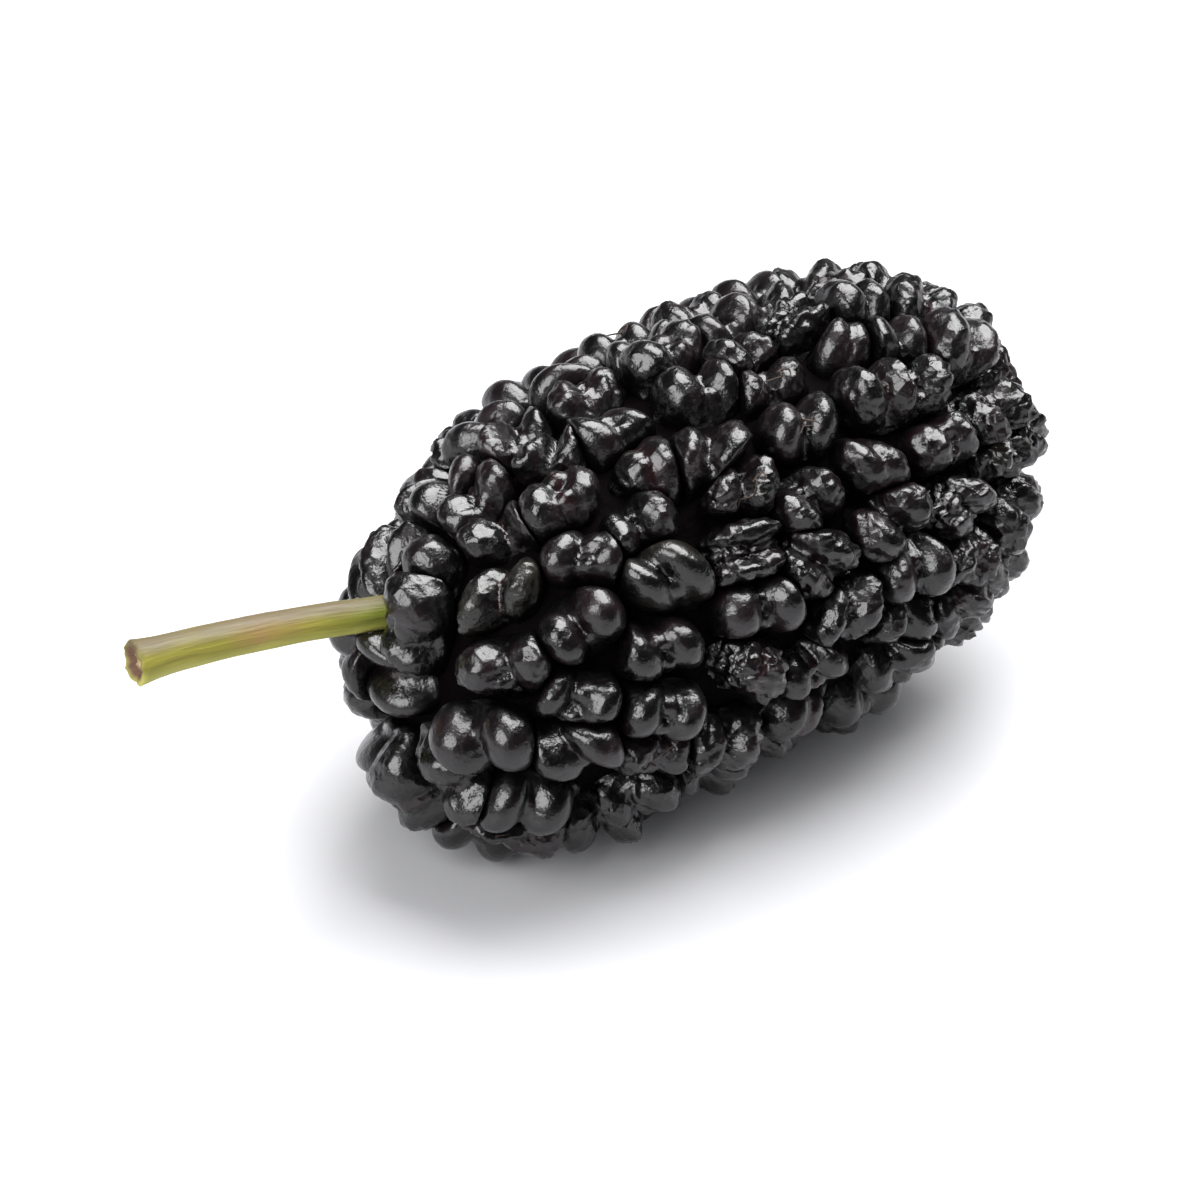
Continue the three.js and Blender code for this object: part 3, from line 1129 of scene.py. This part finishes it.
        # A ball with its poles on the flanks and most of its bands on top.
        ball = add("GeometryNodeMeshUVSphere", {0: size["Segments"], 1: size["Bands"], 2: 1.0})
        lap = add(MATH, [y, x], operation="ARCTAN2")
        crowd = add(MATH, [lap], operation="ABSOLUTE")
        crowd = add(MATH, [crowd, math.pi], operation="DIVIDE")
        crowd = add(MATH, [crowd, self.top_crowding], operation="POWER")
        crowd = add(MATH, [crowd, 0.5, 0.5], operation="MULTIPLY_ADD")
        crowd = add(MATH, [crowd, lap], operation="MULTIPLY")
        flank = add(MATH, [z], operation="ARCCOSINE")
        flank = add(MATH, [flank, 2 / math.pi, -1.0], operation="MULTIPLY_ADD")
        eased = add(MATH, [flank, 3.0], operation="POWER")
        eased = add(MATH, [eased, self.flank_ease], operation="MULTIPLY")
        eased = add(MATH, [flank, 1 - self.flank_ease, eased], operation="MULTIPLY_ADD")
        flank = add(MATH, [eased, math.pi / 2], operation="MULTIPLY")
        wide = add(MATH, [flank], operation="COSINE")
        place = [add(MATH, [flank], operation="SINE")]
        for kind in ("SINE", "COSINE"):
            share = add(MATH, [crowd], operation=kind)
            place.append(add(MATH, [wide, share], operation="MULTIPLY"))
        ball = add(SET_POSITION, {0: ball, 2: add(COMBINE, place)})
        ball = add(STORE, [ball, None, "crown", here], data_type="FLOAT_VECTOR")
        number = add("GeometryNodeInputIndex")
        chosen = [
            add(COMPARE, {2: number, 3: size[end]}, data_type="INT", operation=kind)
            for end, kind in (("First drupelet", "GREATER_EQUAL"), ("Last drupelet", "LESS_EQUAL"))
        ]
        chosen = add("FunctionNodeBooleanMath", chosen, operation="AND")
        balls = add("GeometryNodeInstanceOnPoints", {0: seats, 1: chosen, 2: ball})
        balls = add("GeometryNodeRealizeInstances", [balls])

        # The lobes: along each ray of the ball, how far it is to the outside of them all.
        crown = add(NAMED, ["crown"], data_type="FLOAT_VECTOR")
        own = add(VECTOR, {0: seat["seat_place"], 3: self.noise_run / MM}, operation="SCALE")
        own = add(VECTOR, [crown, own], operation="ADD")
        wobble = add(NOISE, {"Vector": own, "Scale": self.wobble_scale, "Detail": 0.0})
        wobble = add(VECTOR, [wobble.outputs["Color"], (0.5, 0.5, 0.5)], operation="SUBTRACT")
        wobble = add(VECTOR, {0: wobble, 3: size["Lobe wobble"]}, operation="SCALE")
        ray = add(VECTOR, [crown, wobble], operation="ADD")
        turned = {0: ray, 3: seat["cleft_turn"]}
        ray = add("ShaderNodeVectorRotate", turned, rotation_type="Z_AXIS")
        outer, inner = [], []
        for name, apart in (("seat_near", -self.lobe_apart), ("seat_far", self.lobe_apart)):
            across, along, height = add(SEPARATE, [seat[name]]).outputs
            along = add(MATH, [along, apart], operation="MULTIPLY")
            middle = add(COMBINE, [across, along, 0.0])
            half_size = add(VECTOR, {0: self.lobe_size, 3: height}, operation="SCALE")
            outer.append(self.way_out(add, ray, middle, half_size))
        height, across, along = add(SEPARATE, [seat["seat_inner"]]).outputs
        for apart in (-self.inner_apart, self.inner_apart):
            aside = add(MATH, [across, apart], operation="MULTIPLY")
            middle = add(COMBINE, [aside, along, height])
            inner.append(self.way_out(add, ray, middle, self.inner_size))
        root = self.way_out(add, ray, (0.0, 0.0, -self.root_drop), self.root_size)
        lobes = [
            add(MATH, [*pair, size["Cleft softness"]], operation="SMOOTH_MAX")
            for pair in (outer, inner)
        ]
        grown = add(MATH, [*lobes, size["Cleft softness"]], operation="SMOOTH_MAX")
        grown = add(MATH, [grown, root, self.root_softness], operation="SMOOTH_MAX")
        span = add(VECTOR, [ray], operation="LENGTH")
        swell = add(MATH, [grown, span], operation="MULTIPLY")

        # Folds in the skin of one that is drying, sunk between sharper ridges.
        dry = add(SEPARATE, [seat["seat_look"]]).outputs[2]
        fold = add(NOISE, {"Vector": own, "Scale": self.fold_scale, "Detail": 1.0})
        fold = add(MATH, [fold, -0.5], operation="ADD")
        fold = add(MATH, [fold], operation="ABSOLUTE")
        fold = add(MAP_RANGE, [fold, 0.0, self.fold_width, 1.0, 0.0])
        for share in (dry, size["Fold depth"]):
            fold = add(MATH, [fold, share], operation="MULTIPLY")
        swell = add(MATH, [swell, fold], operation="SUBTRACT")
        lobed = add(VECTOR, {0: crown, 3: swell}, operation="SCALE")

        # The root is cut short, then each drupelet gets its size, its turn and its place.
        across, along, height = add(SEPARATE, [lobed]).outputs
        short = add(MATH, [height, self.root_length], operation="MULTIPLY")
        short = add(MATH, [height, short], operation="MAXIMUM")
        lobed = add(COMBINE, [across, along, short])
        lobed = add(VECTOR, [lobed, seat["seat_half"]], operation="MULTIPLY")
        lobed = add("FunctionNodeRotateVector", [lobed, seat["seat_turn"]])
        lobed = add(VECTOR, [lobed, seat["seat_place"]], operation="ADD")
        balls = add(SET_POSITION, {0: balls, 2: lobed})
        lower, higher = (add(MATH, outer, operation=kind) for kind in ("MINIMUM", "MAXIMUM"))
        in_cleft = add(MATH, [higher, lower], operation="SUBTRACT")
        in_cleft = add(MAP_RANGE, [in_cleft, 0.0, self.cleft_width, 1.0, 0.0])
        balls = add(STORE, [balls, None, "cleft_here", in_cleft])

        # Neighbours press on each other: a corner past the plane midway is moved back.
        turns = add("GeometryNodeAttributeDomainSize", [seats], component="MESH")
        entry, leave = add("GeometryNodeRepeatInput"), add("GeometryNodeRepeatOutput")
        entry.pair_with_output(leave)
        tree.links.new(turns.outputs["Point Count"], entry.inputs["Iterations"])
        tree.links.new(balls.outputs[0], entry.inputs["Geometry"])
        picked = {0: seats, 1: here, 2: entry.outputs["Iteration"]}
        other = add("GeometryNodeSampleIndex", picked, data_type="FLOAT_VECTOR")
        between = add(VECTOR, [other, seat["seat_place"]], operation="SUBTRACT")
        span = add(VECTOR, [between], operation="LENGTH")
        way = add(VECTOR, [between], operation="NORMALIZE")
        from_seat = add(VECTOR, [here, seat["seat_place"]], operation="SUBTRACT")
        over = add(VECTOR, [from_seat, way], operation="DOT_PRODUCT")
        over = add(MATH, [span, -0.5, over], operation="MULTIPLY_ADD")
        over = add(MATH, [size["Gap"], 0.5, over], operation="MULTIPLY_ADD")
        soft = add(MATH, [size["Shoulder"], 2.0], operation="POWER")
        soft = add(MATH, [over, over, soft], operation="MULTIPLY_ADD")
        soft = add(MATH, [soft], operation="SQRT")
        back = add(MATH, [soft, over], operation="ADD")
        back = add(MATH, [back, -0.5], operation="MULTIPLY")
        back = add(VECTOR, {0: way, 3: back}, operation="SCALE")
        near = add(MATH, [span, size["Reach"]], operation="LESS_THAN")
        apart = add(MATH, [span, self.same_place * MM], operation="GREATER_THAN")
        near = add(MATH, [near, apart], operation="MULTIPLY")
        pressed = add(SET_POSITION, [entry.outputs["Geometry"], near, None, back])
        tree.links.new(pressed.outputs[0], leave.inputs["Geometry"])

        # How deep in a gap a corner is, from its height over its drupelet's middle; the skin
        # paints shade by it.
        up_way = add("FunctionNodeRotateVector", [(0.0, 0.0, 1.0), seat["seat_turn"]])
        height = add(VECTOR, [from_seat, up_way], operation="DOT_PRODUCT")
        top, floor = (level * MM for level in self.gap_heights)
        depth = add(MAP_RANGE, [height, top, floor, 0.0, 1.0], interpolation_type="SMOOTHSTEP")
        drupelets = add(STORE, [leave, None, "sunk_here", depth])

        # The core comes with the first drupelets alone, so that it isn't there twice.
        core = add(STORE, [core, None, "is_inner", True], data_type="BOOLEAN", domain="FACE")
        first = {2: size["First drupelet"], 3: 0}
        with_core = add(COMPARE, first, data_type="INT", operation="EQUAL")
        core = add("GeometryNodeSwitch", {0: with_core, 2: core}, input_type="GEOMETRY")
        fruit = add("GeometryNodeJoinGeometry", [drupelets])
        tree.links.new(core.outputs[0], fruit.inputs[0])

        # Round the stalk the skin keeps clear, and underneath it lies flat.
        aside = add(VECTOR, [here, self.stalk.middle_nodes(add, x)], operation="SUBTRACT")
        span = add(VECTOR, [aside], operation="LENGTH")
        away = add(VECTOR, [aside], operation="NORMALIZE")
        lack = add(MATH, [size["Stalk room"], span], operation="SUBTRACT")
        lack = add(MATH, [lack, 0.0], operation="MAXIMUM")
        away = add(VECTOR, {0: away, 3: lack}, operation="SCALE")
        outside = add(MATH, [x, self.stalk.sunk_x * MM], operation="LESS_THAN")
        fruit = add(SET_POSITION, [fruit, outside, None, away])
        flat = add(MATH, [z, 0.0], operation="MAXIMUM")
        return add(SET_POSITION, {0: fruit, 2: add(COMBINE, [x, y, flat])})

    def build(
        self, skin: bpy.types.Material, flesh: bpy.types.Material
    ) -> tuple[list[bpy.types.Object], bpy.types.Mesh]:
        """Builds the fruit.

        Args:
            skin: What the drupelets are dressed in.
            flesh: What the core is dressed in.

        Returns:
            The fruit's two halves, and the points that its styles grow from.
        """
        seats = self.rings.seats()
        base = self.base_mesh(seats)
        log.info("%d drupelets in %d rings", len(seats), self.rings.ring_count)
        sizes = {
            "Segments": self.segments,
            "Bands": self.bands,
            "Lobe wobble": self.lobe_wobble,
            "Cleft softness": self.cleft_softness,
            "Fold depth": self.fold_depth,
            "Gap": self.gap * MM,
            "Shoulder": self.shoulder * MM,
            "Reach": self.reach * MM,
            "Stalk room": (self.stalk.root_radius + self.stalk_gap) * MM,
        }
        middle = len(seats) // 2
        pieces = []
        for name, first, last in (
            ("fruit_stalk_half", 0, middle - 1),
            ("fruit_tip_half", middle, len(seats) - 1),
        ):
            ends = {"First drupelet": first, "Last drupelet": last}
            shape = NodeShape(name, {**sizes, **ends}, skin, flesh)
            pieces.append(shape.make(base, self.weave))
        return pieces, base


@dataclass
class Styles:
    """The dried styles that still lie in some of the clefts, each a forked thread.

    Lengths are parts of a drupelet's half size, because each thread follows its drupelet,
    and the radii and the clearance are in millimetres.
    """

    fruit: list[bpy.types.Object]
    thread_radius: float = 0.045
    thread_end: float = 0.015
    clearance: float = 0.12  # of a thread's middle over the table
    arc: float = 0.5  # radians over the drupelet's top
    lift: float = 0.9
    fork: float = 0.28  # how far to its side each arm ends
    sway: float = 0.16  # how far it swings on its way
    sway_turn: float = 4.0  # radians of that swing
    crook: float = 0.5  # radians that a thread may be turned from its drupelet's own axis
    points: int = 12
    sides: int = 5
    crook_seed: int = 5
    flip_seed: int = 1

    def weave(self, tree: bpy.types.NodeTree, given: bpy.types.Node) -> bpy.types.Node:
        """Lays a thread over each drupelet that has one.

        Args:
            tree: The Geometry Nodes tree.
            given: The group's inputs.

        Returns:
            The last node of the shape.
        """
        add, size = partial(add_node, tree), given.outputs
        has_style, half, turn = (
            add(NAMED, [name], data_type=SEAT_KINDS[name])
            for name in ("has_style", "seat_half", "seat_turn")
        )
        part = add("GeometryNodeSplineParameter")
        angle = add(MATH, [part, size["Arc"]], operation="MULTIPLY")
        cosine, sine = (add(MATH, [angle], operation=kind) for kind in ("COSINE", "SINE"))
        line = add("GeometryNodeCurvePrimitiveLine", [(0.0, 0.0, 0.0), (1.0, 0.0, 0.0)])
        line = add("GeometryNodeResampleCurve", {0: line, 2: size["Points"]})
        fork = add("GeometryNodeJoinGeometry")
        for way in (-1.0, 1.0):
            aside = add(MATH, [part, self.sway_turn * way], operation="MULTIPLY")
            aside = add(MATH, [aside], operation="SINE")
            aside = add(MATH, [aside, self.sway * way], operation="MULTIPLY")
            aside = add(MATH, [part, self.fork * way, aside], operation="MULTIPLY_ADD")
            place = add(COMBINE, [sine, aside, cosine])
            place = add(VECTOR, {0: place, 3: size["Lift"]}, operation="SCALE")
            arm = add(SET_POSITION, {0: line, 2: place})
            tree.links.new(arm.outputs[0], fork.inputs[0])
        spin, flip = (
            add("FunctionNodeRandomValue", {2: low, 3: high, 8: seed}, data_type="FLOAT")
            for low, high, seed in (
                (-self.crook, self.crook, size["Seed"]),
                (0.0, 1.0, self.flip_seed),
            )
        )
        flip = add(MATH, [flip], operation="ROUND")
        spin = add(MATH, [flip, math.pi, spin], operation="MULTIPLY_ADD")
        spin = add("FunctionNodeAxisAngleToRotation", {0: (0.0, 0.0, 1.0), 1: spin})
        turn = add("FunctionNodeRotateRotation", [turn, spin], rotation_space="LOCAL")
        laid = {0: size["Base"], 1: has_style, 2: fork, 5: turn, 6: half}
        threads = add("GeometryNodeInstanceOnPoints", laid)
        threads = add("GeometryNodeRealizeInstances", [threads])

        # Each thread sinks until it lies on the skin, and stays over the table.
        skin = add("GeometryNodeJoinGeometry")
        for piece in self.fruit:
            grown = add("GeometryNodeObjectInfo", [piece])
            tree.links.new(grown.outputs["Geometry"], skin.inputs[0])
        touch = add("GeometryNodeProximity", [skin], target_element="FACES")
        x, y, z = add(SEPARATE, [touch]).outputs
        z = add(MATH, [z, self.clearance * MM], operation="MAXIMUM")
        threads = add(SET_POSITION, {0: threads, 2: add(COMBINE, [x, y, z])})
        thin = add(MAP_RANGE, [part, 0.0, 1.0, size["Thread radius"], size["Thread end"]])
        threads = add("GeometryNodeSetCurveRadius", {0: threads, 2: thin})
        ring = add("GeometryNodeCurvePrimitiveCircle", {0: size["Sides"], 4: 1.0})
        tubes = {0: threads, 1: ring, 2: add("GeometryNodeInputRadius"), 3: True}
        return add("GeometryNodeCurveToMesh", tubes)

    def build(self, base: bpy.types.Mesh, dried: bpy.types.Material) -> bpy.types.Object:
        """Builds the styles.

        Args:
            base: The points of the drupelets, with their makes.
            dried: What they are dressed in.

        Returns:
            The piece.
        """
        sizes = {
            "Points": self.points,
            "Sides": self.sides,
            "Arc": self.arc,
            "Lift": self.lift,
            "Thread radius": self.thread_radius * MM,
            "Thread end": self.thread_end * MM,
            "Seed": self.crook_seed,
        }
        return NodeShape("dried_styles", sizes, dried).make(base, self.weave)


# --------------------------------------------------------------------------- the studio


@dataclass(frozen=True)
class SoftBox:
    """A square lamp that faces a point of the table.

    Attributes:
        name: Its name.
        place: Where it is, in metres.
        side: The length of its side, in metres.
        watts: Its power.
        aim: What it faces.
    """

    name: str
    place: tuple[float, float, float]
    side: float
    watts: float
    aim: tuple[float, float, float] = (0.0, 0.0, 0.0)

    def build(self) -> None:
        """Adds the lamp."""
        data = bpy.data.lights.new(self.name, "AREA")
        data.shape = "SQUARE"
        data.size = self.side
        data.energy = self.watts
        lamp = bpy.data.objects.new(self.name, data)
        lamp.location = self.place
        way = Vector(self.aim) - Vector(self.place)
        lamp.rotation_euler = way.to_track_quat("-Z", "Y").to_euler()
        lamp.visible_camera = False
        bpy.context.scene.collection.objects.link(lamp)


@dataclass
class Studio:
    """The table, the lamps, the room's own light and the camera."""

    azimuth: float = -32.0
    elevation: float = 35.0
    distance: float = 0.55
    lens: float = 500.0
    clip: tuple[float, float] = (0.01, 10.0)
    aim: tuple[float, float, float] = (0.0003, 0.0, 0.0068)
    room: str = "#ecedf0"  # what lights the table's shadows
    backdrop: str = "#fcfcfd"  # what is seen past the table
    dusk: str = "#202022"  # what the skin mirrors overhead, past the lamps
    haze: str = "#a4a4a8"  # what it mirrors low down on the left, from the pale wall
    flag: str = "#4c4c50"  # what it mirrors low down on the right, from a black cloth
    flag_way: tuple[float, float, float] = (0.85, -0.53, 0.0)
    flag_edges: tuple[float, float] = (-0.4, 0.6)  # along that way, where it starts and is full
    haze_height: float = 0.4  # the sine of the height where the haze ends
    table_radius: float = 0.95
    table_sides: int = 96
    lamps: tuple[SoftBox, ...] = (
        SoftBox("key_overhead", (0.62, 0.25, 1.40), 1.50, 98.0),
        SoftBox("fill_left", (-1.70, -0.55, 1.40), 1.70, 88.0),
    )

    def set_table(self, top: bpy.types.Material) -> None:
        """Adds the table top that the fruit lies on.

        Args:
            top: What it is dressed in.
        """
        turns = [2 * math.pi * i / self.table_sides for i in range(self.table_sides)]
        reach = self.table_radius
        rim = [(reach * math.cos(turn), reach * math.sin(turn), 0.0) for turn in turns]
        mesh = bpy.data.meshes.new("table_top")
        mesh.from_pydata(rim, [], [tuple(range(self.table_sides))])
        mesh.materials.append(top)
        table = bpy.data.objects.new("table_top", mesh)
        bpy.context.scene.collection.objects.link(table)

    def light_room(self) -> None:
        """Makes the room: what lights, what the skin mirrors, and what is seen of it."""
        world = bpy.data.worlds.new("room")
        world.use_nodes = True
        world.node_tree.nodes.clear()
        add = partial(add_node, world.node_tree)
        ray = add("ShaderNodeLightPath").outputs
        way = add("ShaderNodeTexCoord").outputs["Generated"]
        upward = add(SEPARATE, [way]).outputs[2]
        beside = add(VECTOR, [way, self.flag_way], operation="DOT_PRODUCT")
        walls = linear(self.haze)
        for measure, start, end, tone in (
            (beside, *self.flag_edges, self.flag),
            (upward, 0.0, self.haze_height, self.dusk),
        ):
            share = [measure, start, end, 0.0, 1.0]
            share = add(MAP_RANGE, share, interpolation_type="SMOOTHSTEP")
            walls = add(MIX, {0: share, 6: walls, 7: linear(tone)}, data_type="RGBA")
        light = add("ShaderNodeBackground", [linear(self.room)])
        for kind, tone in (("Is Glossy Ray", walls), ("Is Camera Ray", linear(self.backdrop))):
            seen = add("ShaderNodeBackground", [tone])
            light = add("ShaderNodeMixShader", [ray[kind], light, seen])
        add("ShaderNodeOutputWorld", [light])
        bpy.context.scene.world = world
        bpy.context.scene.view_settings.view_transform = "Standard"

    def set_camera(self) -> None:
        """Adds the camera and looks through it."""
        azimuth, elevation = math.radians(self.azimuth), math.radians(self.elevation)
        level = math.cos(elevation)
        back = Vector((math.sin(azimuth) * level, -math.cos(azimuth) * level, math.sin(elevation)))
        data = bpy.data.cameras.new("camera")
        data.lens = self.lens
        data.clip_start, data.clip_end = self.clip
        camera = bpy.data.objects.new("camera", data)
        camera.location = Vector(self.aim) + back * self.distance
        camera.rotation_euler = (-back).to_track_quat("-Z", "Y").to_euler()
        bpy.context.scene.collection.objects.link(camera)
        bpy.context.scene.camera = camera

    def build(self, top: bpy.types.Material) -> None:
        """Sets up everything round the fruit.

        Args:
            top: The table's finish.
        """
        self.set_table(top)
        for lamp in self.lamps:
            lamp.build()
        self.light_room()
        self.set_camera()


# --------------------------------------------------------------------------- all of it


def report(piece: bpy.types.Object) -> None:
    """Logs a piece's name and how many triangles it has."""
    piece.data.calc_loop_triangles()
    log.info("%s: %d triangles", piece.name, len(piece.data.loop_triangles))


def main() -> None:
    """Builds the studio, the fruit, its styles and its stalk, in that order."""
    logging.basicConfig(level=logging.INFO, format="%(name)s: %(message)s")
    Studio().build(PaleTable().material())

    stem = Stalk()
    halves, seats = Fruit(stem).build(MulberrySkin().material(), CoreFlesh().material())
    for half in halves:
        report(half)
        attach(half, "root")
        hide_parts("fruit")

    styles = Styles(halves).build(seats, DriedStyle().material())
    report(styles)
    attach(styles, "root")

    stalk = stem.build(StalkRind().material())
    report(stalk)
    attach(stalk, "root")
    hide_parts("stalk")


if __name__ == "__main__":
    main()
